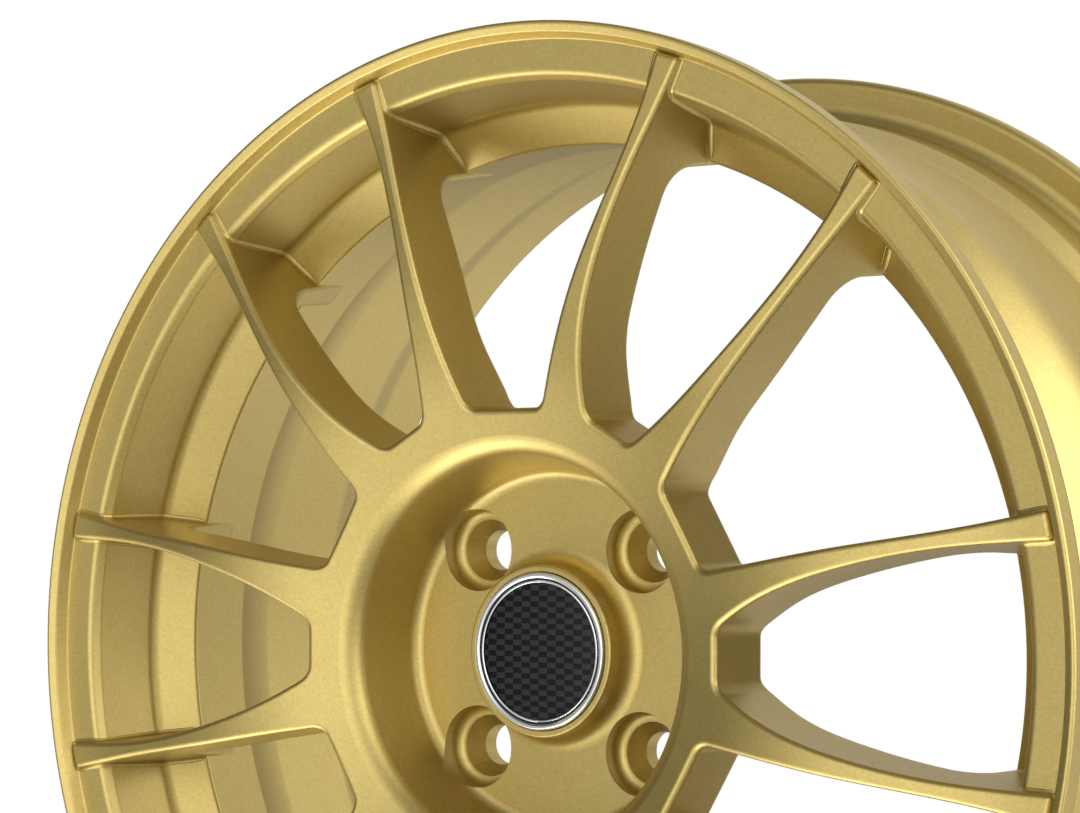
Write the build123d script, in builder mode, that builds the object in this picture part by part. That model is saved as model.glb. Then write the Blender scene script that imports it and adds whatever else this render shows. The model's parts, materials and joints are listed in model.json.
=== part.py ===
"""Forged 17 x 7J racing wheel, 4 x 108 bolt circle, with its centre cap and clamp-in tyre valve.

Frame: millimetres, +Y along the wheel's axle towards the car, +Z up, origin at the centre of the face
that bolts to the hub.  The street side of the wheel looks towards -Y.
The wheel is one forging.  It is written as its barrel, its hub and twelve spokes, which meet face to face.
"""

import os
from math import atan2, cos, degrees, hypot, radians, sin

from build123d import *

# ---- driving dimensions ------------------------------------------------------------------------------
INCH = 25.4
BEAD_WIDTH = 7 * INCH
BEAD_R = 436.6 / 2  # seat of a 17 inch rim
FLANGE_HEIGHT = 17.5
RIM_R = BEAD_R + FLANGE_HEIGHT
OFFSET = 42.0  # hub face to the middle of the bead width
LIP_THICKNESS = 12.4  # street lip, from its face to the tyre
REAR_THICKNESS = 9.8
LIP_Y = OFFSET - BEAD_WIDTH / 2 - LIP_THICKNESS
WIDTH = LIP_THICKNESS + BEAD_WIDTH + REAR_THICKNESS
FACE_DEPTH = -LIP_Y  # depth of the hub face behind the street lip
WELL_R = 199.7  # drop well, tyre side
BARREL_R = 213.0  # long shelf behind the well, tyre side

SPOKE_PAIRS = 6
PAIR_ANGLE = 360 / SPOKE_PAIRS
DRAFT = 3.0  # degrees, on each side wall of a window
FRONT_ROUND = 2.0
REAR_ROUND = 2.5
SPOKE_ROOT_R = 87.0  # where the spokes meet the hub
SPOKE_END_R = 229.4

BOLT_CIRCLE_R = 108.0 / 2
BOLTS = 4
BOLT_HOLE_R = 7.9
BOLT_SEAT_R = 12.0
BOLT_POCKET_R = 16.0
BOLT_POCKET_DEPTH = 8.5
SEAT_ANGLE = 30.0  # half of the 60 degree conical seat
HUB_BORE_R = 36.0
SPIGOT_R = 65.1 / 2
CAP_R = 30.0
CAP_BORE_R = 28.0
BOSS_DEPTH = 24.6
FLOOR_DEPTH = 36.8

VALVE_HOLE_R = 5.65
VALVE_STEM_R = 4.0
VALVE_THREAD_R = 3.85
VALVE_TIP = 33.0  # height of the stem above the ledge
CORE_R = 2.5
PIN_R = 0.75
PIN_TRAVEL = 1.2
SHAFT_GAP = 0.05

os.makedirs("parts", exist_ok=True)


def front(depth):
    """Y of a point that lies this far behind the street face of the lip."""
    return LIP_Y + depth


def at(points):
    """Profile points given as (radius, depth behind the lip) as sketch points."""
    return [(radius, front(depth)) for radius, depth in points]


def wheel_plane(angle, shift=0.0):
    """Plane through the axle at an angle up from +X: local x is the radius, local y runs along +Y."""
    c, s = cos(radians(angle)), sin(radians(angle))
    return Plane(origin=(shift * c, 0, shift * s), x_dir=(c, 0, s), z_dir=(-s, 0, c))


def facing_plane(angle, depth):
    """Plane square to the axle at a depth behind the lip: local x is the radius at this angle."""
    c, s = cos(radians(angle)), sin(radians(angle))
    return Plane(origin=(0, front(depth), 0), x_dir=(c, 0, s), z_dir=(0, 1, 0))


def rounded_profile(corners):
    """Closed section from ((x, y), corner rounding) pairs."""
    with BuildSketch(mode=Mode.PRIVATE) as profile:
        with BuildLine():
            FilletPolyline([point for point, _ in corners], radius=[r for _, r in corners], close=True)
        make_face()
    return profile.sketch


def in_depth(corners):
    """Corners given by depth behind the lip, as corners in the wheel's own frame."""
    return [((radius, front(depth)), rounding) for (radius, depth), rounding in corners]


def save(piece, name):
    piece.part.label = name
    export_step(piece.part, f"parts/{name}.step")


# ---- barrel ------------------------------------------------------------------------------------------
# The ledge is the cone between the pocket wall and the well.  The valve stands on it.
LEDGE_OUTER = (209.5, 37.0)
LEDGE_INNER = (193.8, 46.6)
LEDGE_WALL = 6.0
LEDGE_ANGLE = atan2(LEDGE_INNER[1] - LEDGE_OUTER[1], LEDGE_OUTER[0] - LEDGE_INNER[0])


def behind_ledge(slide):
    """A point on the tyre side of the ledge's wall, slid inwards from behind the ledge's outer corner."""
    radius = LEDGE_OUTER[0] + LEDGE_WALL * sin(LEDGE_ANGLE) - slide * cos(LEDGE_ANGLE)
    depth = LEDGE_OUTER[1] + LEDGE_WALL * cos(LEDGE_ANGLE) + slide * sin(LEDGE_ANGLE)
    return (radius, depth)


SEAT_WIDTH = 19.8
SEAT_DROP = SEAT_WIDTH * sin(radians(5))
HUMP_R = BEAD_R - 0.4
REAR_SEAT = WIDTH - REAR_THICKNESS
# From the street lip along the open side to the rear lip, and back along the tyre side.
BARREL_CORNERS = [
    ((RIM_R, 0.0), 1.2),
    ((231.6, 2.0), 0.9),
    ((229.6, 6.8), 0.8),
    ((217.0, 7.3), 3.0),
    ((214.6, 11.0), 2.0),
    (LEDGE_OUTER, 6.0),
    (LEDGE_INNER, 1.6),
    ((196.2, 79.0), 2.0),
    ((207.8, 94.8), 45.0),
    ((208.6, 152.0), 12.0),
    ((211.6, 164.0), 12.0),
    ((212.4, WIDTH - 6.0), 3.0),
    ((217.0, WIDTH), 2.5),
    ((RIM_R, WIDTH), 3.6),
    ((RIM_R, REAR_SEAT), 3.4),
    ((BEAD_R, REAR_SEAT), 6.5),
    ((BEAD_R - SEAT_DROP, REAR_SEAT - SEAT_WIDTH), 2.0),
    ((HUMP_R, REAR_SEAT - SEAT_WIDTH - 4), 3.0),
    ((BARREL_R, REAR_SEAT - SEAT_WIDTH - 15), 10.0),
    ((BARREL_R, 99.0), 30.0),
    ((WELL_R, 77.0), 14.0),
    (behind_ledge(15.1), 3.0),
    (behind_ledge(-3.4), 1.0),
    ((HUMP_R, LIP_THICKNESS + SEAT_WIDTH + 4), 1.5),
    ((BEAD_R - SEAT_DROP, LIP_THICKNESS + SEAT_WIDTH), 2.0),
    ((BEAD_R, LIP_THICKNESS), 6.5),
    ((RIM_R, LIP_THICKNESS), 4.0),
]

# The valve stands at the bottom of the wheel, square to the ledge.
VALVE_AXIS = (0, -cos(LEDGE_ANGLE), sin(LEDGE_ANGLE))
VALVE_PLACE = 0.45  # along the ledge, from its outer corner
VALVE_FOOT = (
    0,
    front(LEDGE_OUTER[1] + VALVE_PLACE * (LEDGE_INNER[1] - LEDGE_OUTER[1])),
    -(LEDGE_OUTER[0] + VALVE_PLACE * (LEDGE_INNER[0] - LEDGE_OUTER[0])),
)
VALVE_PLANE = Plane(origin=VALVE_FOOT, x_dir=(1, 0, 0), z_dir=VALVE_AXIS)
VALVE_SECTION = Plane(origin=VALVE_FOOT, x_dir=(1, 0, 0), z_dir=(0, -VALVE_AXIS[2], VALVE_AXIS[1]))
VALVE_LINE = Axis(VALVE_FOOT, VALVE_AXIS)

with BuildPart() as barrel:
    with BuildSketch(wheel_plane(0)):
        add(rounded_profile(in_depth(BARREL_CORNERS)))
    revolve(axis=Axis.Y)
    with BuildSketch(VALVE_PLANE):
        Circle(VALVE_HOLE_R)
    extrude(amount=2 * LEDGE_WALL, both=True, mode=Mode.SUBTRACT)
save(barrel, "barrel")

# ---- spokes ------------------------------------------------------------------------------------------
# Street face of the centre from the hub outwards, as (radius, depth behind the lip).
CROWN_START = (SPOKE_ROOT_R, 2.2)
BOWL_EDGE = (75.6, 5.2)
CROWN_FACE = [CROWN_START, (108, -3.0), (137, -5.8), (170, -2.6), (205, 3.0), (SPOKE_END_R, 4.6)]
CROWN_SLOPES = [(CROWN_START[0] - BOWL_EDGE[0], CROWN_START[1] - BOWL_EDGE[1]), (1, 0.03)]
REAR_ROOT = (SPOKE_ROOT_R, 31.0)
# Outer end, inside the barrel's metal, then the rear face with its root fillet to the well.
SPOKE_END = [(SPOKE_END_R, 9.4), (216.2, 9.4), (213, 30), (208.5, 41), (198, 50), (198, 66), (195, 66)]
SPOKE_REAR = [(195.0, 66.0), (188.7, 27.8), (124, 23.9), (101, 30.3), REAR_ROOT]
REAR_ROUNDINGS = [12.5, 60.0, 20.0]

# Half outline of each kind of window, as (along its middle line, across it).
NARROW_SIDE = [(94.0, 10.9), (117.7, 23.2), (146.4, 32.6), (185.7, 40.3), (224.9, 43.2), (245, 44.2)]
NARROW_CORNER = 7.0
WIDE_SIDE = [(90.8, 17.6), (116.8, 27.4), (145.1, 38.0), (182.5, 53.0), (219.3, 66.0), (245, 73.5)]
WIDE_CORNER = 6.5
WINDOW_START = -9.0  # in front of the crown
WINDOW_CUT = 85.0


def window_outline(side, corner):
    """Closed outline of a window, its two inner corners rounded."""
    other = [(along, -across) for along, across in side]
    with BuildSketch(mode=Mode.PRIVATE) as outline:
        with BuildLine():
            Line(other[0], side[0])
            Spline(side)
            Line(side[-1], other[-1])
            Spline(other)
        make_face()
        fillet(outline.vertices().group_by(Axis.X)[0], corner)
    return outline.sketch


def polar(point):
    return hypot(point.X, point.Z), degrees(atan2(point.Z, point.X))


def window_edges(part, lowest, highest, end_r):
    """Edges of the windows between two depths and inside a radius, without those of the sector's own cut faces."""
    chosen = []
    for edge in part.edges():
        radius, angle = polar(edge @ 0.5)
        depths = [(edge @ place).Y - LIP_Y for place in (0, 0.5, 1)]
        ends = [polar(edge @ place)[0] for place in (0, 1)]
        in_sector = radius > SPOKE_ROOT_R + 1 and abs(angle) < PAIR_ANGLE / 2 - 0.1
        if in_sector and max(ends) < end_r and lowest < min(depths) and max(depths) < highest:
            chosen.append(edge)
    return chosen


# One sixth of the centre: a pair of spokes round a narrow window, between two half wide windows.
with BuildPart() as sector:
    with BuildSketch(wheel_plane(PAIR_ANGLE / 2)):
        with BuildLine():
            Spline(at(CROWN_FACE), tangents=CROWN_SLOPES)
            Polyline(at([CROWN_FACE[-1]] + SPOKE_END))
            FilletPolyline(at(SPOKE_REAR), radius=REAR_ROUNDINGS)
            Line(at([REAR_ROOT, CROWN_START]))
        make_face()
    revolve(axis=Axis.Y, revolution_arc=PAIR_ANGLE)
    with BuildSketch(facing_plane(0, WINDOW_START)):
        add(window_outline(NARROW_SIDE, NARROW_CORNER))
    extrude(amount=WINDOW_CUT, taper=DRAFT, mode=Mode.SUBTRACT)
    for angle in (-PAIR_ANGLE / 2, PAIR_ANGLE / 2):
        with BuildSketch(facing_plane(angle, WINDOW_START)):
            add(window_outline(WIDE_SIDE, WIDE_CORNER))
        extrude(amount=WINDOW_CUT, taper=DRAFT, mode=Mode.SUBTRACT)
    fillet(window_edges(sector.part, 20, 70, 196), REAR_ROUND)
    fillet(window_edges(sector.part, -10, 12, SPOKE_END_R + 0.5), FRONT_ROUND)
    add(barrel.part, mode=Mode.SUBTRACT)

with BuildPart() as upper_spoke:
    add(sector.part)
    split(bisect_by=Plane(origin=(0, 0, 0), z_dir=(0, 0, 1)), keep=Keep.TOP)

with BuildPart() as lower_spoke:
    add(sector.part)
    split(bisect_by=Plane(origin=(0, 0, 0), z_dir=(0, 0, 1)), keep=Keep.BOTTOM)

for pair in range(SPOKE_PAIRS):
    for side, half in enumerate((lower_spoke, upper_spoke)):
        with BuildPart() as spoke:
            add(half.part.rotate(Axis.Y, -PAIR_ANGLE * pair))
        save(spoke, f"spoke_{2 * pair + side + 1:02d}")

# ---- hub ---------------------------------------------------------------------------------------------
CAP_SEAT_DEPTH = 28.4
CAP_LAND_DEPTH = 39.0  # end of the bore that the cap's fingers grip
SPIGOT_DEPTH = 44.3
PAD_R = 75.0
HUB_CORNERS = [
    ((CAP_BORE_R, CAP_SEAT_DEPTH), 0),
    ((CAP_R + 0.2, CAP_SEAT_DEPTH), 0),
    ((CAP_R + 0.2, BOSS_DEPTH), 0.4),
    ((32.8, BOSS_DEPTH), 0.9),
    ((33.6, FLOOR_DEPTH), 6.0),
    ((68.6, FLOOR_DEPTH), 4.5),
    (BOWL_EDGE, 10.0),
    (CROWN_START, 0),
    (REAR_ROOT, 0),
    ((82.0, REAR_ROOT[1] + 0.2), 4.5),
    ((PAD_R, FACE_DEPTH), 2.5),
    ((HUB_BORE_R + 0.8, FACE_DEPTH), 0),
    ((HUB_BORE_R, FACE_DEPTH - 0.8), 0),
    ((HUB_BORE_R, SPIGOT_DEPTH), 1.0),
    ((CAP_BORE_R + 1.0, CAP_LAND_DEPTH + 1), 0),
    ((CAP_BORE_R, CAP_LAND_DEPTH), 0),
]
SEAT_DEPTH = FLOOR_DEPTH + BOLT_POCKET_DEPTH
SEAT_END = SEAT_DEPTH + (BOLT_SEAT_R - BOLT_HOLE_R) / sin(radians(SEAT_ANGLE)) * cos(radians(SEAT_ANGLE))
BOLT_CORNERS = [
    ((0, 0), 0),
    ((BOLT_POCKET_R, 0), 0),
    ((BOLT_POCKET_R, SEAT_DEPTH), 3.6),
    ((BOLT_SEAT_R, SEAT_DEPTH), 0),
    ((BOLT_HOLE_R, SEAT_END), 0),
    ((BOLT_HOLE_R, FACE_DEPTH + 1), 0),
    ((0, FACE_DEPTH + 1), 0),
]
BOLT_ANGLES = [45 + 360 / BOLTS * i for i in range(BOLTS)]
LIGHTENING_R = 11.0
LIGHTENING_DEPTH = 9.0

with BuildPart() as hub:
    with BuildSketch(wheel_plane(0)):
        add(rounded_profile(in_depth(HUB_CORNERS)))
    revolve(axis=Axis.Y)
    for angle in BOLT_ANGLES:
        bolt_plane = wheel_plane(angle, BOLT_CIRCLE_R)
        with BuildSketch(bolt_plane):
            add(rounded_profile(in_depth(BOLT_CORNERS)))
        revolve(axis=Axis(bolt_plane.origin, (0, 1, 0)), mode=Mode.SUBTRACT)
    # Pockets in the hub face between the bolt holes, to save weight.
    with BuildSketch(facing_plane(0, FACE_DEPTH)):
        with PolarLocations(BOLT_CIRCLE_R + 1, BOLTS):
            Circle(LIGHTENING_R)
    extrude(amount=-LIGHTENING_DEPTH, mode=Mode.SUBTRACT)
save(hub, "hub")


def turned(corners, plane=None, axis=Axis.Y):
    """A ring turned about an axis from its section's corners."""
    with BuildPart(mode=Mode.PRIVATE) as ring:
        with BuildSketch(plane or wheel_plane(0)):
            add(rounded_profile(corners))
        revolve(axis=axis)
    return ring.part


# Ring that centres the wheel on the car's spigot.
with BuildPart() as spigot_ring:
    add(turned([
        ((SPIGOT_R, -11.0), 0.4),
        ((HUB_BORE_R, -11.0), 0.4),
        ((HUB_BORE_R, -1.0), 0.2),
        ((HUB_BORE_R - 0.6, -0.4), 0.2),
        ((SPIGOT_R, -0.4), 0.4),
    ]))
save(spigot_ring, "spigot_ring")

# ---- centre cap --------------------------------------------------------------------------------------
CAP_PLATE_DEPTH = 25.4
CAP_FLANGE_BACK = CAP_SEAT_DEPTH - SHAFT_GAP
SKIRT_R = 27.5
SKIRT_INNER_R = 25.6
SKIRT_END = 40.0
BEAD_OUT_R = CAP_BORE_R - SHAFT_GAP
FINGERS = 8
FINGER_SLOT = 3.0

with BuildPart() as cap_body:
    add(turned(in_depth([
        ((0, CAP_PLATE_DEPTH), 0),
        ((CAP_R, CAP_PLATE_DEPTH), 0.3),
        ((CAP_R, CAP_FLANGE_BACK), 0.3),
        ((SKIRT_R, CAP_FLANGE_BACK), 0.2),
        ((SKIRT_R, SKIRT_END - 5.0), 0.2),
        ((BEAD_OUT_R, SKIRT_END - 4.0), 0.2),
        ((BEAD_OUT_R, SKIRT_END - 2.6), 0.2),
        ((SKIRT_R - 0.6, SKIRT_END), 0.2),
        ((SKIRT_INNER_R, SKIRT_END), 0.2),
        ((SKIRT_INNER_R, CAP_PLATE_DEPTH + 2.0), 0.5),
        ((0, CAP_PLATE_DEPTH + 2.0), 0),
    ])))
    with BuildSketch(facing_plane(0, SKIRT_END + 1)):
        with PolarLocations(SKIRT_R, FINGERS, start_angle=22.5):
            Rectangle(8, FINGER_SLOT)
    extrude(amount=-(SKIRT_END - 30), mode=Mode.SUBTRACT)
save(cap_body, "cap_body")

WIRE_R = 0.7
with BuildPart() as cap_spring_ring:
    with BuildSketch(wheel_plane(10)):
        with Locations((SKIRT_INNER_R - WIRE_R - SHAFT_GAP, front(SKIRT_END - 4))):
            Circle(WIRE_R)
    revolve(axis=Axis.Y, revolution_arc=340)
save(cap_spring_ring, "cap_spring_ring")

with BuildPart() as cap_bezel:
    add(turned(in_depth([
        ((27.8, 23.9), 0.3),
        ((28.4, 23.5), 0.4),
        ((29.6, 23.5), 0.7),
        ((CAP_R, 24.4), 0.3),
        ((CAP_R, CAP_PLATE_DEPTH), 0),
        ((27.8, CAP_PLATE_DEPTH), 0),
    ])))
save(cap_bezel, "cap_bezel")

with BuildPart() as cap_trim_ring:
    add(turned(in_depth([
        ((26.1, 24.0), 0.3),
        ((27.0, 24.0), 0.3),
        ((27.0, CAP_PLATE_DEPTH), 0),
        ((26.1, CAP_PLATE_DEPTH), 0),
    ])))
save(cap_trim_ring, "cap_trim_ring")

BADGE_R = 25.7
with BuildPart() as cap_badge:
    with BuildSketch(wheel_plane(0)):
        with BuildLine():
            Line(at([(0, CAP_PLATE_DEPTH), (BADGE_R, CAP_PLATE_DEPTH)]))
            Line(at([(BADGE_R, CAP_PLATE_DEPTH), (BADGE_R, 24.6)]))
            Spline(at([(BADGE_R, 24.6), (0, 24.0)]), tangents=[(-1, -0.08), (-1, 0)])
            Line(at([(0, 24.0), (0, CAP_PLATE_DEPTH)]))
        make_face()
    revolve(axis=Axis.Y)
save(cap_badge, "cap_badge")

# ---- valve -------------------------------------------------------------------------------------------
# Heights are measured outwards along the stem from the ledge.
STEM_HEAD = (6.4, -11.6, -8.6)  # radius, bottom, top
GROMMET_R = 6.2
CAVITY_BOTTOM = 11.0
WASHER_R = 6.7
WASHER_BASE = 0.2
WASHER_TOP = 1.6
NUT_TOP = 7.4
NUT_ACROSS_FLATS = 11.0
CORE_BOTTOM = 19.5
CORE_TOP = 31.0
CHAMBER = (1.75, CORE_BOTTOM + 2.0, CORE_TOP - 1.4)


def valve_turned(corners):
    return turned(corners, VALVE_SECTION, VALVE_LINE)


with BuildPart() as valve_stem:
    add(valve_turned([
        ((1.5, STEM_HEAD[1]), 0.4),
        ((STEM_HEAD[0], STEM_HEAD[1]), 1.0),
        ((STEM_HEAD[0], STEM_HEAD[2]), 0.3),
        ((VALVE_STEM_R, STEM_HEAD[2]), 0.1),
        ((VALVE_STEM_R, 20.0), 0.1),
        ((VALVE_THREAD_R, 21.0), 0.1),
        ((VALVE_THREAD_R, VALVE_TIP), 0.5),
        ((CORE_R + SHAFT_GAP, VALVE_TIP), 0.3),
        ((CORE_R + SHAFT_GAP, CAVITY_BOTTOM), 0.2),
        ((1.5, CAVITY_BOTTOM - 1.0), 0.1),
    ]))
save(valve_stem, "valve_stem")

with BuildPart() as valve_grommet:
    add(valve_turned([
        ((VALVE_STEM_R, STEM_HEAD[2]), 0),
        ((GROMMET_R, STEM_HEAD[2]), 0.2),
        ((GROMMET_R, -LEDGE_WALL), 0.2),
        ((VALVE_HOLE_R - SHAFT_GAP, -LEDGE_WALL), 0.1),
        ((VALVE_HOLE_R - SHAFT_GAP, -0.3), 0.4),
        ((VALVE_STEM_R, -0.3), 0),
    ]))
save(valve_grommet, "valve_grommet")

with BuildPart() as valve_washer:
    add(valve_turned([
        ((VALVE_STEM_R + SHAFT_GAP, WASHER_BASE), 0.2),
        ((WASHER_R, WASHER_BASE), 0.2),
        ((WASHER_R, WASHER_TOP), 0.5),
        ((VALVE_STEM_R + SHAFT_GAP, WASHER_TOP), 0.2),
    ]))
save(valve_washer, "valve_washer")

with BuildPart() as valve_nut:
    with BuildSketch(VALVE_PLANE.offset(WASHER_TOP)):
        RegularPolygon(NUT_ACROSS_FLATS / 2, 6, major_radius=False)
        Circle(VALVE_STEM_R + SHAFT_GAP, mode=Mode.SUBTRACT)
    extrude(amount=NUT_TOP - WASHER_TOP)
    # Turned faces: the corners are cut back by a cone at each end.
    add(valve_turned([
        ((0, WASHER_TOP), 0),
        ((NUT_ACROSS_FLATS / 2, WASHER_TOP), 0),
        ((NUT_ACROSS_FLATS / 2 + 1.2, WASHER_TOP + 0.7), 0),
        ((NUT_ACROSS_FLATS / 2 + 1.2, NUT_TOP - 0.7), 0),
        ((NUT_ACROSS_FLATS / 2, NUT_TOP), 0),
        ((0, NUT_TOP), 0),
    ]), mode=Mode.INTERSECT)
save(valve_nut, "valve_nut")

with BuildPart() as valve_core_body:
    add(valve_turned([
        ((PIN_R + SHAFT_GAP, CORE_BOTTOM), 0),
        ((CORE_R - 0.3, CORE_BOTTOM), 0.2),
        ((CORE_R, CORE_BOTTOM + 1.0), 0.2),
        ((CORE_R, CORE_TOP), 0.3),
        ((PIN_R + SHAFT_GAP, CORE_TOP), 0),
        ((PIN_R + SHAFT_GAP, CHAMBER[2]), 0),
        ((CHAMBER[0], CHAMBER[2]), 0),
        ((CHAMBER[0], CHAMBER[1]), 0),
        ((PIN_R + SHAFT_GAP, CHAMBER[1]), 0),
    ]))
save(valve_core_body, "valve_core_body")

COLLAR_BASE = 28.0
with BuildPart() as valve_core_pin:
    add(valve_turned([
        ((0, 14.6), 0),
        ((PIN_R, 14.6), 0.2),
        ((PIN_R, COLLAR_BASE), 0),
        ((1.45, COLLAR_BASE), 0),
        ((1.45, COLLAR_BASE + 0.8), 0),
        ((PIN_R, COLLAR_BASE + 0.8), 0),
        ((PIN_R, VALVE_TIP - 0.8), 0.3),
        ((0, VALVE_TIP - 0.8), 0),
    ]))
save(valve_core_pin, "valve_core_pin")

with BuildPart() as valve_core_seal:
    add(valve_turned([
        ((PIN_R, CORE_BOTTOM - 2.2), 0),
        ((1.75, CORE_BOTTOM - 2.2), 0.3),
        ((1.75, CORE_BOTTOM), 0.3),
        ((PIN_R, CORE_BOTTOM), 0),
    ]))
save(valve_core_seal, "valve_core_seal")

# Return spring, drawn at the height it has with the pin pressed in.
SPRING_WIRE_R = 0.2
SPRING_R = 1.3
SPRING_HEIGHT = COLLAR_BASE - PIN_TRAVEL - CHAMBER[1] - 2 * SPRING_WIRE_R - 0.2
SPRING_FOOT = VALVE_PLANE.offset(CHAMBER[1] + SPRING_WIRE_R + 0.1).origin
with BuildPart() as valve_core_spring:
    with BuildLine() as coil:
        Helix(SPRING_HEIGHT / 5, SPRING_HEIGHT, SPRING_R, center=SPRING_FOOT, direction=VALVE_AXIS)
    with BuildSketch(Plane(origin=coil.line @ 0, z_dir=coil.line % 0)):
        Circle(SPRING_WIRE_R)
    sweep(path=coil.line, is_frenet=True)
save(valve_core_spring, "valve_core_spring")

CAP_SKIRT = 21.6
CAP_CEILING = 34.0
CAP_TOP = 35.4
VALVE_CAP_R = 5.4
CAP_INNER_R = VALVE_THREAD_R + SHAFT_GAP
with BuildPart() as valve_cap:
    add(valve_turned([
        ((0, CAP_CEILING), 0),
        ((CAP_INNER_R, CAP_CEILING), 0),
        ((CAP_INNER_R, CAP_SKIRT), 0.3),
        ((VALVE_CAP_R, CAP_SKIRT), 0.5),
        ((VALVE_CAP_R, CAP_TOP), 0.9),
        ((0, CAP_TOP), 0),
    ]))
save(valve_cap, "valve_cap")

with BuildPart() as valve_cap_seal:
    add(valve_turned([
        ((0, VALVE_TIP + SHAFT_GAP), 0),
        ((CAP_INNER_R - SHAFT_GAP, VALVE_TIP + SHAFT_GAP), 0.1),
        ((CAP_INNER_R - SHAFT_GAP, CAP_CEILING - SHAFT_GAP), 0.1),
        ((0, CAP_CEILING - SHAFT_GAP), 0),
    ]))
save(valve_cap_seal, "valve_cap_seal")
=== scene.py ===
"""Looks of a forged racing wheel, its centre cap and its tyre valve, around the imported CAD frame.

Frame: metres, +Y along the axle towards the car, +Z up, the street side of the wheel faces -Y.
"""

import json
import math

import bmesh
import bpy
import numpy as np
from mathutils import Matrix, Vector


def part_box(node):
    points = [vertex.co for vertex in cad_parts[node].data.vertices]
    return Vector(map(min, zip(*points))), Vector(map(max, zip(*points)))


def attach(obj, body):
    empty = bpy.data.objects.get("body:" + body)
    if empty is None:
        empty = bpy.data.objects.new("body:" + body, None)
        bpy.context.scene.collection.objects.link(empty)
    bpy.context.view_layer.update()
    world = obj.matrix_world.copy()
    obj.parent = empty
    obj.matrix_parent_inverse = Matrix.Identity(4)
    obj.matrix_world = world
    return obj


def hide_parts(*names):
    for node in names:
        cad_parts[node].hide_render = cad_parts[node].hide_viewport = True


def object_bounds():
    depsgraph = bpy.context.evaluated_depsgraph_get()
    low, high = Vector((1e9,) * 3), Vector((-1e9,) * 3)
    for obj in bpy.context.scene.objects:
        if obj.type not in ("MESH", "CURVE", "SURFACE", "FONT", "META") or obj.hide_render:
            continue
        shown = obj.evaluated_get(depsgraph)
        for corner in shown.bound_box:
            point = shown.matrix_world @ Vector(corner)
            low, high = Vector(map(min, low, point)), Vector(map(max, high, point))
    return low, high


MM = 0.001

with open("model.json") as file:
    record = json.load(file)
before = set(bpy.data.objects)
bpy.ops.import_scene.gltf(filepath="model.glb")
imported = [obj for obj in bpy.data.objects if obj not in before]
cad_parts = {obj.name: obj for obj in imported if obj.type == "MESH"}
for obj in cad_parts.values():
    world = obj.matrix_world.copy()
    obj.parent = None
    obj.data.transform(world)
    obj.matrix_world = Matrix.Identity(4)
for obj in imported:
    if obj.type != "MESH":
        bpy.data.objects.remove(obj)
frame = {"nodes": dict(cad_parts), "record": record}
cad_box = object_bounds()


# ---- materials -----------------------------------------------------------------------------------
def colour(code):
    """An sRGB hex colour as linear RGBA."""
    channels = [int(code[i : i + 2], 16) / 255 for i in (1, 3, 5)]
    linear = [c / 12.92 if c <= 0.04045 else ((c + 0.055) / 1.055) ** 2.4 for c in channels]
    return (*linear, 1.0)


def add_node(tree, kind, settings=None, values=None, **links):
    """Adds a node, sets its properties and input values, and links its inputs from other sockets.

    A link named _0 goes to input 0, and an underscore inside any other name stands for a space.
    """
    node = tree.nodes.new(kind)
    for name, value in (settings or {}).items():
        setattr(node, name, value)
    for name, value in (values or {}).items():
        node.inputs[name].default_value = value
    for name, source in links.items():
        key = int(name[1:]) if name[1:].isdigit() else name.replace("_", " ")
        tree.links.new(source, node.inputs[key])
    return node


def new_material(name, **values):
    """A material with one Principled shader, and its node tree and shader."""
    material = bpy.data.materials.new(name)
    material.use_nodes = True
    shader = material.node_tree.nodes["Principled BSDF"]
    for socket, value in values.items():
        shader.inputs[socket.replace("_", " ")].default_value = value
    return material, material.node_tree, shader


def ramp(tree, source, stops):
    """A colour ramp through (position, hex colour) stops."""
    node = add_node(tree, "ShaderNodeValToRGB", _0=source)
    elements = node.color_ramp.elements
    for spare in list(elements)[2:]:
        elements.remove(spare)
    for element, (position, code) in zip(elements, stops):
        element.position, element.color = position, colour(code)
    return node.outputs["Color"]


def to_range(tree, source, low, high):
    """Maps 0..1 to low..high."""
    node = add_node(tree, "ShaderNodeMapRange", None, {"To Min": low, "To Max": high}, Value=source)
    return node.outputs["Result"]


def gold_lacquer():
    """Satin gold metallic lacquer sprayed on forged aluminium: fine metal flake under a clear coat.

    The flake gives a soft broad sheen with a tiny sparkle, the clear coat a second, sharper one.
    """
    material, tree, shader = new_material(
        "gold_metallic_lacquer_sprayed", Metallic=1.0, Roughness=0.44, Coat_Weight=0.15, Coat_Roughness=0.2
    )
    place = add_node(tree, "ShaderNodeTexCoord").outputs["Object"]
    # Flake clusters about 0.8 mm apart, coarser than real flake so that they still show.
    flake = add_node(tree, "ShaderNodeTexVoronoi", None, {"Scale": 1 / (0.8 * MM)}, Vector=place)
    tint = add_node(tree, "ShaderNodeSeparateColor", _0=flake.outputs["Color"]).outputs["Red"]
    tree.links.new(ramp(tree, tint, [(0.0, "#BAA562"), (1.0, "#C4AF6C")]), shader.inputs["Base Color"])
    # Spray mottle, about 25 mm across.
    mottle = add_node(tree, "ShaderNodeTexNoise", None, {"Scale": 1 / (25 * MM), "Detail": 3.0}, Vector=place)
    tree.links.new(to_range(tree, mottle.outputs["Fac"], 0.42, 0.47), shader.inputs["Roughness"])
    # Lacquer texture, about 1.5 mm.
    peel = add_node(tree, "ShaderNodeTexNoise", None, {"Scale": 1 / (1.5 * MM), "Detail": 2.0}, Vector=place)
    bump = add_node(
        tree, "ShaderNodeBump", None, {"Strength": 0.06, "Distance": 0.05 * MM}, Height=peel.outputs["Fac"]
    )
    tree.links.new(bump.outputs["Normal"], shader.inputs["Normal"])
    return material


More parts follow.
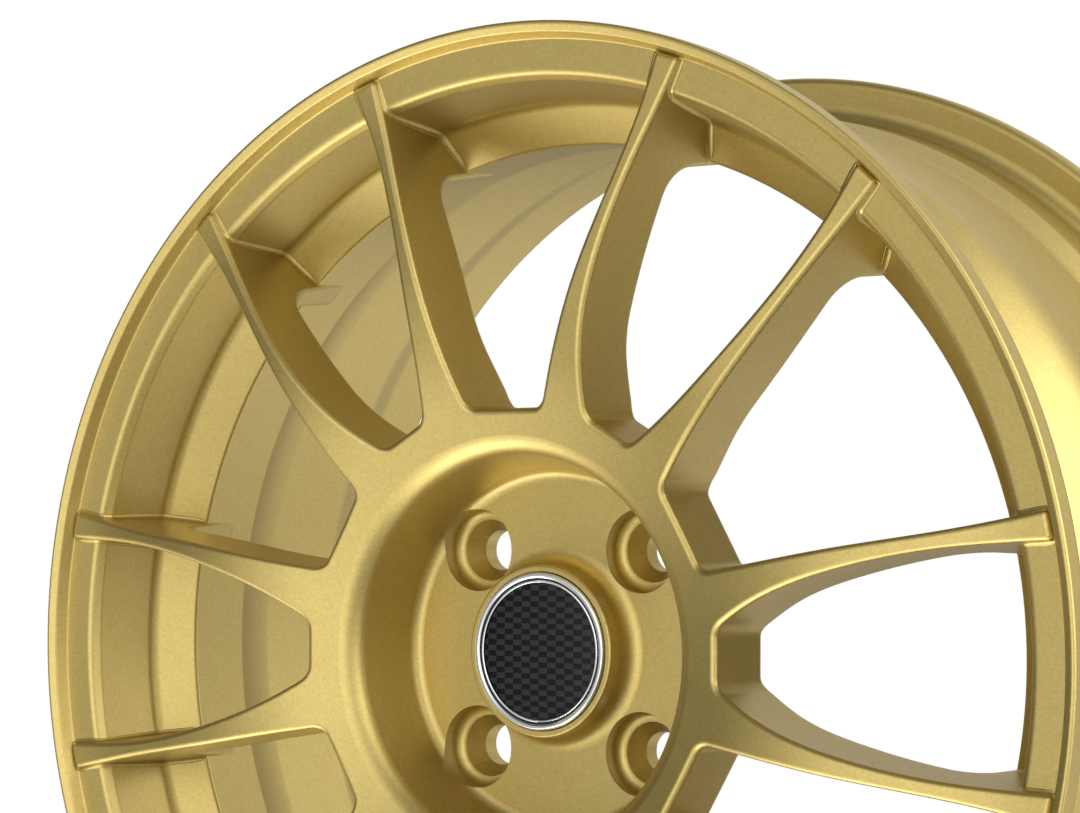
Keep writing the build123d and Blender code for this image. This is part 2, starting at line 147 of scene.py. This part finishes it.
def turned_metal(name, code, roughness, spacing):
    """Metal turned or drawn: fine grooves spaced in millimetres, which spread the highlight."""
    material, tree, shader = new_material(name, Metallic=1.0, Roughness=roughness, Base_Color=colour(code))
    place = add_node(tree, "ShaderNodeTexCoord").outputs["Object"]
    grain = add_node(
        tree, "ShaderNodeTexNoise", None, {"Scale": 1 / (spacing * MM), "Detail": 3.0}, Vector=place
    )
    tree.links.new(
        to_range(tree, grain.outputs["Fac"], roughness * 0.8, roughness * 1.3), shader.inputs["Roughness"]
    )
    bump = add_node(
        tree, "ShaderNodeBump", None, {"Strength": 0.08, "Distance": 0.02 * MM}, Height=grain.outputs["Fac"]
    )
    tree.links.new(bump.outputs["Normal"], shader.inputs["Normal"])
    return material


def moulded(name, code, roughness, grain_mm):
    """Moulded plastic or rubber with the fine grain of its mould."""
    material, tree, shader = new_material(name, Roughness=roughness, IOR=1.5, Base_Color=colour(code))
    place = add_node(tree, "ShaderNodeTexCoord").outputs["Object"]
    grain = add_node(
        tree, "ShaderNodeTexNoise", None, {"Scale": 1 / (grain_mm * MM), "Detail": 4.0}, Vector=place
    )
    tree.links.new(
        to_range(tree, grain.outputs["Fac"], roughness * 0.85, min(1.0, roughness * 1.2)),
        shader.inputs["Roughness"],
    )
    bump = add_node(
        tree, "ShaderNodeBump", None, {"Strength": 0.1, "Distance": 0.03 * MM}, Height=grain.outputs["Fac"]
    )
    tree.links.new(bump.outputs["Normal"], shader.inputs["Normal"])
    return material


def domed_weave():
    """Black woven-look film under a clear resin dome: only the resin's skin reflects."""
    check_width, check_height = 4.0 * MM, 2.1 * MM
    material, tree, shader = new_material(
        "woven_look_film_under_resin_dome", Roughness=0.4, IOR=1.5, Specular_IOR_Level=0.0,
        Coat_Weight=0.5, Coat_Roughness=0.06,
    )
    place = add_node(tree, "ShaderNodeTexCoord").outputs["Object"]
    cells = add_node(
        tree, "ShaderNodeMapping", None,
        {"Location": (0, 0.5, 0), "Scale": (1 / check_width, 0, 1 / check_height)}, Vector=place,
    )
    checks = add_node(
        tree, "ShaderNodeTexChecker", None,
        {"Scale": 1.0, "Color1": colour("#0A0A0B"), "Color2": colour("#2A2A2C")},
        Vector=cells.outputs["Vector"],
    )
    tree.links.new(checks.outputs["Color"], shader.inputs["Base Color"])
    return material


MATERIALS = {
    "gold_lacquer": gold_lacquer(),
    "spigot_aluminium": turned_metal("aluminium_turned", "#C9CBCE", 0.3, 0.4),
    "cap_plastic": moulded("abs_moulded_gloss_black", "#0D0D0E", 0.2, 0.3),
    "cap_chrome": turned_metal("chrome_plated_abs_polished", "#E6E8EA", 0.09, 3.0),
    "badge_laminate": domed_weave(),
    "spring_steel": turned_metal("spring_steel_drawn", "#9A9A9C", 0.3, 0.3),
    "valve_metal": turned_metal("nickel_plated_brass_turned", "#C8C8C6", 0.22, 0.5),
    "valve_rubber": moulded("epdm_rubber_moulded", "#151515", 0.7, 0.4),
    "core_brass": turned_metal("brass_turned", "#B9924A", 0.3, 0.3),
}
for subpart in frame["record"]["subparts"]:
    node = frame["nodes"][subpart["node"]]
    node.data.materials.clear()
    node.data.materials.append(MATERIALS[subpart["material_slot"]])


# ---- surfaces ------------------------------------------------------------------------------------
def rounded(corners, arc_step=15.0, support=0.35 * MM, span=12 * MM):
    """Closed outline of ((x, y), radius) corners, each corner turned into an arc.

    An arc starts r * tan(turn / 2) before its corner and swings about its centre by equal angles.  Each
    straight run gets a point close to either end, so that its shading stays flat, and points along it
    where it is long.
    """
    points = [np.array(p, float) for p, _ in corners]
    starts, arcs = [], []
    for i, (_, radius) in enumerate(corners):
        corner = points[i]
        into = corner - points[i - 1]
        out = points[(i + 1) % len(points)] - corner
        into, out = into / np.hypot(*into), out / np.hypot(*out)
        turn = math.atan2(into[0] * out[1] - into[1] * out[0], into @ out)
        cut = radius * abs(math.tan(turn / 2))
        count = max(2, int(abs(math.degrees(turn)) / arc_step) + 2) if radius else 1
        if radius:
            centre = corner - into * cut + math.copysign(radius, turn) * np.array([-into[1], into[0]])
            arm = corner - into * cut - centre
            swing = np.linspace(0, turn, count)[:, None]
            side = np.array([-arm[1], arm[0]])
            arcs.append(centre + np.cos(swing) * arm + np.sin(swing) * side)
        else:
            arcs.append(corner[None])
    line = []
    for i, arc in enumerate(arcs):
        line.append(arc)
        gap = arcs[(i + 1) % len(arcs)][0] - arc[-1]
        length = np.hypot(*gap)
        if length > 3 * support:
            inner = np.linspace(support, length - support, 2 + int(length / span))
            line.append(arc[-1] + gap * (inner / length)[:, None])
    return np.concatenate(line)


def grid_mesh(name, points, close_rows=False, close_columns=False, material=None):
    """A mesh of quads over a grid of points, rows by columns, closed round either way where asked."""
    rows, columns = points.shape[:2]
    index = np.arange(rows * columns).reshape(rows, columns)
    if close_rows:
        index = np.vstack([index, index[:1]])
    if close_columns:
        index = np.hstack([index, index[:, :1]])
    quads = np.stack([index[:-1, :-1], index[1:, :-1], index[1:, 1:], index[:-1, 1:]], -1).reshape(-1, 4)
    mesh = bpy.data.meshes.new(name)
    mesh.from_pydata(points.reshape(-1, 3).tolist(), [], quads.tolist())
    mesh.update()
    mesh.shade_smooth()
    piece = bpy.data.objects.new(name, mesh)
    bpy.context.scene.collection.objects.link(piece)
    if material:
        mesh.materials.append(material)
    return piece


def lathe(name, outline, segments, material, foot=(0, 0, 0), axis=(0, 1, 0)):
    """A closed outline of (radius, height) points turned about an axis: each goes round a full circle."""
    axis = Vector(axis)
    side = Vector((1, 0, 0))
    other = axis.cross(side)
    angles = np.arange(segments) * 2 * math.pi / segments
    around = np.cos(angles)[:, None] * np.array(side) + np.sin(angles)[:, None] * np.array(other)
    points = outline[None, :, :1] * around[:, None] + outline[None, :, 1:] * np.array(axis) + np.array(foot)
    return grid_mesh(name, points, True, True, material)


def settle(piece, cutter=None):
    """Cuts a piece with a closed solid, removes the cutter and points all faces outwards."""
    if cutter:
        cut = piece.modifiers.new("cut", "BOOLEAN")
        cut.operation, cut.solver, cut.object = "DIFFERENCE", "EXACT", cutter
        graph = bpy.context.evaluated_depsgraph_get()
        shape = bpy.data.meshes.new_from_object(piece.evaluated_get(graph))
        piece.modifiers.clear()
        piece.data = shape
        bpy.data.objects.remove(cutter)
    work = bmesh.new()
    work.from_mesh(piece.data)
    bmesh.ops.recalc_face_normals(work, faces=work.faces)
    work.to_mesh(piece.data)
    work.free()
    return piece


RIM_WIDTH = 200 * MM
LIP_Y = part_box("barrel")[1].y - RIM_WIDTH
# The ledge behind the pocket wall: its corners as (radius, depth behind the street lip), and its thickness.
LEDGE_OUTER, LEDGE_INNER, LEDGE_WALL = (209.5, 37.0), (193.8, 46.6), 6.0
LEDGE_ANGLE = math.atan2(LEDGE_INNER[1] - LEDGE_OUTER[1], LEDGE_OUTER[0] - LEDGE_INNER[0])


def in_wheel(corners):
    """Corners in millimetres, as (radius, depth behind the street lip), in the frame's metres."""
    return [((r * MM, LIP_Y + depth * MM), rounding * MM) for (r, depth), rounding in corners]


def behind_ledge(slide):
    """A corner on the tyre side of the ledge's wall, slid inwards from behind the ledge's outer corner."""
    radius = LEDGE_OUTER[0] + LEDGE_WALL * math.sin(LEDGE_ANGLE) - slide * math.cos(LEDGE_ANGLE)
    return (radius, LEDGE_OUTER[1] + LEDGE_WALL * math.cos(LEDGE_ANGLE) + slide * math.sin(LEDGE_ANGLE))


def barrel():
    """The rim: lip, band, pocket wall, ledge, well and rear flange as one outline turned about the axle."""
    rim_r, seat_r, width, seat, drop = 235.8, 218.3, 200.0, 19.8, 1.726
    rear = width - 9.8
    lip = 12.4
    outline = rounded(in_wheel([
        ((rim_r, 0.0), 1.2), ((231.6, 2.0), 0.9), ((229.6, 6.8), 0.8), ((217.0, 7.3), 3.0),
        ((214.6, 11.0), 2.0), (LEDGE_OUTER, 6.0), (LEDGE_INNER, 1.6), ((196.2, 79.0), 2.0),
        ((207.8, 94.8), 45.0), ((208.6, 152.0), 12.0), ((211.6, 164.0), 12.0), ((212.4, width - 6), 3.0),
        ((217.0, width), 2.5), ((rim_r, width), 3.6), ((rim_r, rear), 3.4), ((seat_r, rear), 6.5),
        ((seat_r - drop, rear - seat), 2.0), ((seat_r - 0.4, rear - seat - 4), 3.0),
        ((213.0, rear - seat - 15), 10.0), ((213.0, 99.0), 30.0), ((199.7, 77.0), 14.0),
        (behind_ledge(15.1), 3.0), (behind_ledge(-3.4), 1.0), ((seat_r - 0.4, lip + seat + 4), 1.5),
        ((seat_r - drop, lip + seat), 2.0), ((seat_r, lip), 6.5), ((rim_r, lip), 4.0),
    ]))
    piece = lathe("rim_barrel", outline, 360, MATERIALS["gold_lacquer"])
    # The valve hole is square to the ledge, this share of the way from its outer to its inner corner.
    share, hole_r, reach = 0.45, 5.65, 12.0
    valve_r, valve_depth = (1 - share) * np.array(LEDGE_OUTER) + share * np.array(LEDGE_INNER)
    foot = (0, LIP_Y + valve_depth * MM, -valve_r * MM)
    axis = (0, -math.cos(LEDGE_ANGLE), math.sin(LEDGE_ANGLE))
    hole = np.array([(0.001, -reach), (hole_r, -reach), (hole_r, reach), (0.001, reach)]) * MM
    settle(piece, settle(lathe("valve_hole", hole, 48, None, foot, axis)))
    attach(piece, "wheel")
    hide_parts("barrel")


def end_slope(places, points):
    """Slope at the first place of the cubic through the first four points."""
    return np.array([np.polyfit(places[:4] - places[0], points[:4, k], 3)[2] for k in range(2)])


def smooth_line(points, count):
    """A line through the points with steady curvature: cubics whose slope and bend agree at each point.

    The parameter is the running length of the chords.  The slopes solve one linear system, with the slope at
    either end taken from the cubic through the four points there.
    """
    points = np.array(points, float)
    places = np.concatenate([[0], np.cumsum(np.hypot(*np.diff(points, axis=0).T))])
    gaps, steps, n = np.diff(places), np.diff(points, axis=0), len(points)
    matrix, sides = np.eye(n), np.zeros((n, 2))
    sides[0] = end_slope(places, points)
    sides[-1] = -end_slope(-places[::-1], points[::-1])
    for i in range(1, n - 1):
        matrix[i, i - 1 : i + 2] = 1 / gaps[i - 1], 2 / gaps[i - 1] + 2 / gaps[i], 1 / gaps[i]
        sides[i] = 3 * (steps[i - 1] / gaps[i - 1] ** 2 + steps[i] / gaps[i] ** 2)
    slopes = np.linalg.solve(matrix, sides)
    at = np.linspace(0, places[-1], count)
    i = np.clip(np.searchsorted(places, at, "right") - 1, 0, n - 2)
    u = ((at - places[i]) / gaps[i])[:, None]
    h = gaps[i][:, None]
    return (
        (1 + 2 * u) * (1 - u) ** 2 * points[i]
        + u * (1 - u) ** 2 * h * slopes[i]
        + u**2 * (3 - 2 * u) * points[i + 1]
        + u**2 * (u - 1) * h * slopes[i + 1]
    )


# Half outlines of the two kinds of window 9 mm in front of the lip, as (along, across) in millimetres.
WINDOW_START, DRAFT = -9.0, math.radians(3)
NARROW_SIDE = [(94.0, 10.9), (117.7, 23.2), (146.4, 32.6), (185.7, 40.3), (224.9, 43.2), (245, 44.2)]
WIDE_SIDE = [(90.8, 17.6), (116.8, 27.4), (145.1, 38.0), (182.5, 53.0), (219.3, 66.0), (245, 73.5)]


def wall_line(side, radius, depth):
    """A window's drafted side wall at given radii and depths: places on it and normals into the window."""
    line = smooth_line(side, 400)
    run = np.gradient(line, axis=0)
    run /= np.hypot(*run.T)[:, None]
    inwards = np.stack([run[:, 1], -run[:, 0]], 1)
    found, normals = [], []
    for r, d in zip(radius, depth):
        moved = line + inwards * (d - WINDOW_START) * math.tan(DRAFT)
        order = np.hypot(*moved.T)
        found.append([np.interp(r, order, moved[:, k]) for k in range(2)])
        normals.append([np.interp(r, order, inwards[:, k]) for k in range(2)])
    return np.array(found), np.array(normals)


def ease(share):
    """A soft step from 0 to 1: 3 s^2 - 2 s^3."""
    share = np.clip(share, 0, 1)
    return share * share * (3 - 2 * share)


def joint_line():
    """The band, pocket wall and ledge as (radius, depth) points, their normals, and the fillet at each point.

    The fillet's radius starts at almost nothing, holds its small value on the band, widens down the pocket
    wall, and dies away at the ledge's inner corner.
    """
    first, last, thin, band, ledge = 5.4, 47.0, 0.15, 1.6, 2.0
    line = rounded([
        ((229.6, 2.0), 0), ((229.6, 6.8), 0.8), ((217.0, 7.3), 3.0), ((214.6, 11.0), 2.0),
        (LEDGE_OUTER, 6.0), (LEDGE_INNER, 1.6), ((196.2, 79.0), 0),
    ], arc_step=9, support=0.5, span=4)
    line = line[(line[:, 1] > first) & (line[:, 1] < last)]
    line = line[: np.argmax(line[:, 1]) + 1]
    run = np.gradient(line, axis=0)
    run /= np.hypot(*run.T)[:, None]
    normals = np.stack([-run[:, 1], run[:, 0]], 1)
    if normals[len(line) // 4, 1] > 0:
        normals = -normals
    length = np.concatenate([[0], np.cumsum(np.hypot(*np.diff(line, axis=0).T))])
    ends = ease(np.minimum(length / 3.0, (length[-1] - length) / 2.5))
    wider = (ledge - band) * ease((line[:, 1] - 14.0) / 10.0)
    return line, normals, thin + (band - thin + wider) * ends


def root_fillets():
    """Hollow fillets where the spokes' side walls run out on the band, the pocket wall and the ledge.

    Along each joint line the section is an arc that touches both surfaces: its centre lies along the sum of
    the two normals, at radius / (1 + their cosine), and the arc turns from one normal to the other.
    """
    line, rim_normal, radius = joint_line()
    depth = np.array([0, 1.0, 0])
    share = np.linspace(0, 1, 7)[None, :, None]
    vertices, faces = [], []
    for pair in range(6):
        for middle, side in ((60 * pair, NARROW_SIDE), (60 * pair + 30, WIDE_SIDE)):
            place, normal = wall_line(side, line[:, 0], line[:, 1])
            for hand in (1, -1):
                turn = math.radians(middle)
                along = np.array([math.cos(turn), 0, math.sin(turn)])
                across = hand * np.array([-math.sin(turn), 0, math.cos(turn)])
                point = place[:, :1] * along + place[:, 1:] * across + line[:, 1:] * depth
                wall = normal[:, :1] * along + normal[:, 1:] * across
                wall = wall * math.cos(DRAFT) - depth * math.sin(DRAFT)
                out = point * np.array([1, 0, 1])
                out /= np.linalg.norm(out, axis=1)[:, None]
                rim = rim_normal[:, :1] * out + rim_normal[:, 1:] * depth
                cosine = (wall * rim).sum(1)[:, None]
                centre = point + radius[:, None] * (wall + rim) / (1 + cosine)
                angle = np.arccos(np.clip(cosine, -1, 1))[:, None]
                arm = np.sin((1 - share) * angle) * wall[:, None] + np.sin(share * angle) * rim[:, None]
                arc = centre[:, None] - radius[:, None, None] * arm / np.sin(angle)
                buried = (point - 0.25 * (wall + rim))[:, None]
                ring = np.concatenate([arc, buried], 1) + depth * LIP_Y / MM
                index = len(vertices) + np.arange(ring.shape[0] * ring.shape[1]).reshape(ring.shape[:2])
                vertices.extend((ring.reshape(-1, 3) * MM).tolist())
                index = np.hstack([index, index[:, :1]])
                corners = [index[:-1, :-1], index[1:, :-1], index[1:, 1:], index[:-1, 1:]]
                faces.extend(np.stack(corners, -1).reshape(-1, 4).tolist())
                faces.append(index[0, :-1].tolist())
                faces.append(index[-1, -2::-1].tolist())
    mesh = bpy.data.meshes.new("spoke_root_fillets")
    mesh.from_pydata(vertices, [], faces)
    mesh.shade_smooth()
    mesh.materials.append(MATERIALS["gold_lacquer"])
    piece = bpy.data.objects.new("spoke_root_fillets", mesh)
    bpy.context.scene.collection.objects.link(piece)
    settle(piece)
    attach(piece, "wheel")


barrel()
root_fillets()

# ---- floor, light and camera ----------------------------------------------------------------------
# Soft boxes round the wheel: azimuth (0 in front of the street side, 90 on its right) and elevation in
# degrees, tightness, and brightness.
SOFT_BOXES = {
    "right": (95, 25, 7.0, 4.9),
    "front": (5, 5, 7.0, 2.7),
    "low_front_left": (-55, -60, 9.0, 5.2),
    "low_behind": (145, -55, 3.5, 1.4),
    "high_behind": (200, 45, 4.5, 0.9),
}


def floor():
    """White studio paper that runs off behind the wheel, lit from below too, with a hint of its shadow."""
    size, height, glowing = 12.0, cad_box[0].z, 0.97
    mesh = bpy.data.meshes.new("floor")
    corners = [(-size, -size, height), (size, -size, height), (size, size, height), (-size, size, height)]
    mesh.from_pydata(corners, [], [(0, 1, 2, 3)])
    piece = bpy.data.objects.new("floor", mesh)
    bpy.context.scene.collection.objects.link(piece)
    material, tree, shader = new_material("floor_paper_matt", Roughness=0.9, Base_Color=colour("#A0A0A0"))
    glow = add_node(tree, "ShaderNodeEmission", None, {"Strength": 1.03})
    mix = add_node(
        tree, "ShaderNodeMixShader", None, {0: glowing},
        _1=shader.outputs["BSDF"], _2=glow.outputs["Emission"],
    )
    tree.links.new(mix.outputs["Shader"], tree.nodes["Material Output"].inputs["Surface"])
    mesh.materials.append(material)
    # Only the camera sees it, so that the light from below reaches the wheel.
    piece.visible_diffuse = piece.visible_glossy = False
    piece.visible_transmission = piece.visible_shadow = False


def studio():
    """A dome of soft boxes, white to the camera and through clear things.

    In direction d the dome shines with the sum over the boxes of b * exp(k * (d . c - 1)): c points at the
    box, b is its brightness there and k its tightness, so that it fades to 1/e at acos(1 - 1/k) from c.
    """
    scene_world = bpy.data.worlds.new("studio")
    bpy.context.scene.world = scene_world
    scene_world.use_nodes = True
    tree = scene_world.node_tree
    direction = add_node(tree, "ShaderNodeTexCoord").outputs["Generated"]
    level = add_node(tree, "ShaderNodeValue").outputs["Value"]
    level.default_value = 0.0
    for azimuth, elevation, tightness, brightness in SOFT_BOXES.values():
        a, e = math.radians(azimuth), math.radians(elevation)
        centre = (math.sin(a) * math.cos(e), -math.cos(a) * math.cos(e), math.sin(e))
        along = add_node(
            tree, "ShaderNodeVectorMath", {"operation": "DOT_PRODUCT"}, {1: centre}, _0=direction
        ).outputs["Value"]
        power = add_node(
            tree, "ShaderNodeMath", {"operation": "MULTIPLY_ADD"}, {1: tightness, 2: -tightness}, _0=along
        ).outputs["Value"]
        box = add_node(tree, "ShaderNodeMath", {"operation": "EXPONENT"}, _0=power).outputs["Value"]
        level = add_node(
            tree, "ShaderNodeMath", {"operation": "MULTIPLY_ADD"}, {1: brightness}, _0=box, _2=level
        ).outputs["Value"]
    path = add_node(tree, "ShaderNodeLightPath").outputs
    seen = add_node(
        tree, "ShaderNodeMath", {"operation": "MAXIMUM"},
        _0=path["Is Camera Ray"], _1=path["Is Transmission Ray"],
    ).outputs["Value"]
    shown = add_node(tree, "ShaderNodeMix", {"data_type": "FLOAT"}, {"B": 1.0}, Factor=seen, A=level)
    background = tree.nodes["Background"]
    background.inputs["Color"].default_value = (1, 1, 1, 1)
    tree.links.new(shown.outputs["Result"], background.inputs["Strength"])


floor()
studio()

bpy.context.scene.view_settings.view_transform = "Standard"

# Eye level with the axle, off to the street side's right.  The shift frames the upper part of the wheel.
AZIMUTH, ELEVATION, ROLL = math.radians(36.442), math.radians(-0.331), math.radians(0.102)
back = Vector(
    (math.sin(AZIMUTH) * math.cos(ELEVATION), -math.cos(AZIMUTH) * math.cos(ELEVATION), math.sin(ELEVATION))
)
camera_data = bpy.data.cameras.new("camera")
camera = bpy.data.objects.new("camera", camera_data)
bpy.context.scene.collection.objects.link(camera)
camera.location = (0.7283, -1.0425, 0.0439)
camera.rotation_mode = "QUATERNION"
camera.rotation_quaternion = back.to_track_quat("Z", "Y") @ Matrix.Rotation(ROLL, 3, "Z").to_quaternion()
camera_data.lens = 109.28
camera_data.shift_x, camera_data.shift_y = 0.0315, 0.1019
camera_data.sensor_width = 36.0
camera_data.clip_start, camera_data.clip_end = 0.05, 60
bpy.context.scene.camera = camera
